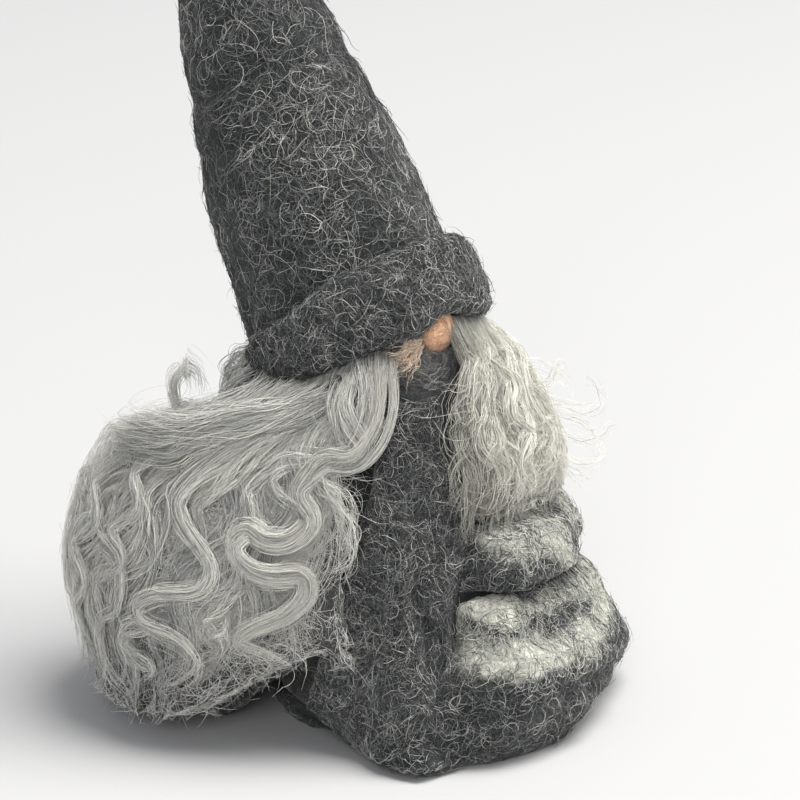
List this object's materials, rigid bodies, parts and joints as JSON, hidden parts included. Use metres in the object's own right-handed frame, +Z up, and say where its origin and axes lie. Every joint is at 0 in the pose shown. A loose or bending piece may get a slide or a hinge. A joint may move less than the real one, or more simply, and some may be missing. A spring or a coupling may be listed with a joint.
{
  "type": "tomte gnome figurine",
  "caption": "Standing felted-wool gnome in a folded robe, with a tall leaning hat over its eyes, a small ball nose and long curly fleece for beard and hair.",
  "frame": {"origin": "centre of the base pad's underside, on the ground", "axes": "+Z up; the gnome faces -Y, and +X is its own left"},
  "size_m": [0.1391, 0.1509, 0.2268],
  "materials": {
    "charcoal_felt": "wet-felted charcoal melange wool, matt and hairy",
    "melange_felt": "charcoal felt with pale fibres combed through it",
    "cream_blotched_felt": "charcoal felt with cream wool worked into the surface",
    "silver_fleece": "long curly silver-grey fleece with a soft sheen",
    "beige_fleece": "fine wavy warm grey fleece",
    "natural_wool": "carded natural wool stuffing",
    "peach_wool": "needle-felted peach wool",
    "pale_skin_wool": "loose pale peach wool",
    "stone": "smooth grey pebble"
  },
  "bodies": {
    "figure": {"base_pad": "charcoal_felt", "ballast_stone": "stone", "body_core": "natural_wool", "robe_shell": "charcoal_felt", "robe_front_panel": "melange_felt", "side_fold_upper": "cream_blotched_felt", "side_fold_lower": "cream_blotched_felt", "head_ball": "natural_wool", "nose": "peach_wool", "face_patch": "pale_skin_wool"},
    "hat_stuffing": {"hat_stuffing": "natural_wool"},
    "hat": {"hat_cone": "charcoal_felt", "hat_brim": "melange_felt"},
    "hat_tip": {"hat_tip": "charcoal_felt"},
    "beard_left": {"beard_left_fleece": "beige_fleece"},
    "hair_left": {"hair_left_fleece": "beige_fleece"},
    "beard_right": {"beard_right_fleece": "silver_fleece", "beard_right_strand": "silver_fleece"},
    "beard_lock": {"beard_right_lock": "silver_fleece"},
    "hair_back": {"hair_back_fleece": "silver_fleece", "hair_upright_curl": "silver_fleece"}
  },
  "joints": [
    {"name": "hat_turn", "type": "hinge", "parent": "figure", "child": "hat_stuffing", "pos_m": [0, 0.0105, 0.1], "axis": [0, 0.4462, 0.8949], "range_deg": [-20, 20]},
    {"name": "hat_lift", "type": "slide", "parent": "hat_stuffing", "child": "hat", "axis": [0, 0.4462, 0.8949], "range_m": [0, 0.075]},
    {"name": "hat_tip_bend", "type": "hinge", "parent": "hat", "child": "hat_tip", "pos_m": [0, 0.05155, 0.18233], "axis": [1, 0, 0], "range_deg": [-30, 35], "stiffness_Nm_per_rad": 0.03},
    {"name": "beard_left_swing", "type": "hinge", "parent": "figure", "child": "beard_left", "pos_m": [0.0257, -0.01664, 0.105], "axis": [-0.7193, -0.6947, 0], "range_deg": [0, 22]},
    {"name": "hair_left_swing", "type": "hinge", "parent": "figure", "child": "hair_left", "pos_m": [0.03477, 0.03037, 0.091], "axis": [0.5299, -0.848, 0], "range_deg": [0, 20]},
    {"name": "beard_right_swing", "type": "hinge", "parent": "figure", "child": "beard_right", "pos_m": [-0.04094, 0.00726, 0.099], "axis": [-0.0523, 0.9986, 0], "range_deg": [0, 20]},
    {"name": "beard_lock_swing", "type": "hinge", "parent": "beard_right", "child": "beard_lock", "pos_m": [-0.02911, -0.01464, 0.103], "axis": [-0.4695, 0.8829, 0], "range_deg": [0, 25]},
    {"name": "hair_back_swing", "type": "hinge", "parent": "figure", "child": "hair_back", "pos_m": [-0.01216, 0.053, 0.08], "axis": [0.9659, 0.2588, 0], "range_deg": [0, 15]}
  ]
}
